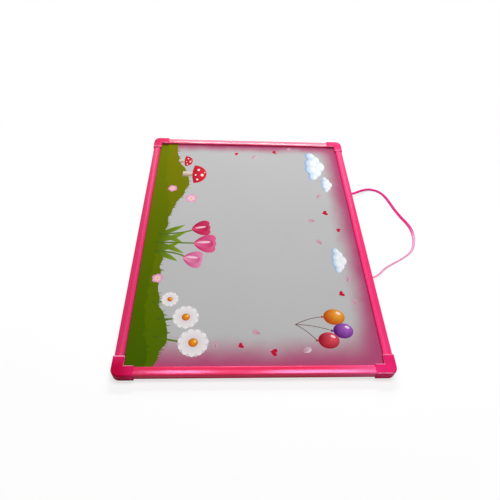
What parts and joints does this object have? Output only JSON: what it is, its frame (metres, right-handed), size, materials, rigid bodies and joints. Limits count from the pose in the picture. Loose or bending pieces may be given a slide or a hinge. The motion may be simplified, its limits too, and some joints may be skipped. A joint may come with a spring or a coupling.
{
  "type": "writing board",
  "caption": "Child's dry-wipe writing board lying face up: printed sheet on a core board in hollow plastic rails with corner caps, and a flat cord to hang it by.",
  "frame": {"origin": "Under the middle of the board, on the surface that the corner caps stand on; the cord isn't counted.", "axes": "+Y runs along the board's length, away from the near edge. +X points to the rail that the cord hangs from. +Z points out of the writing face."},
  "size_m": [0.3756, 0.4, 0.0113],
  "materials": {
    "printed_sheet": "clear film over a printed sheet, smooth and glossy",
    "core": "raw fibreboard",
    "back_liner": "uncoated liner paper, matt",
    "rail": "extruded, glossy",
    "cap": "moulded, satin gloss",
    "cord": "flat braid with a sheen"
  },
  "bodies": {
    "root": {"writing_sheet": "printed_sheet", "core_board": "core", "back_sheet": "back_liner", "rail_near": "rail", "rail_right": "rail", "rail_far": "rail", "rail_left": "rail", "cap_near_left": "cap", "cap_near_right": "cap", "cap_far_right": "cap", "cap_far_left": "cap", "hang_cord": "cord", "cord_knot_far": "cord", "cord_knot_near": "cord"}
  },
  "joints": []
}
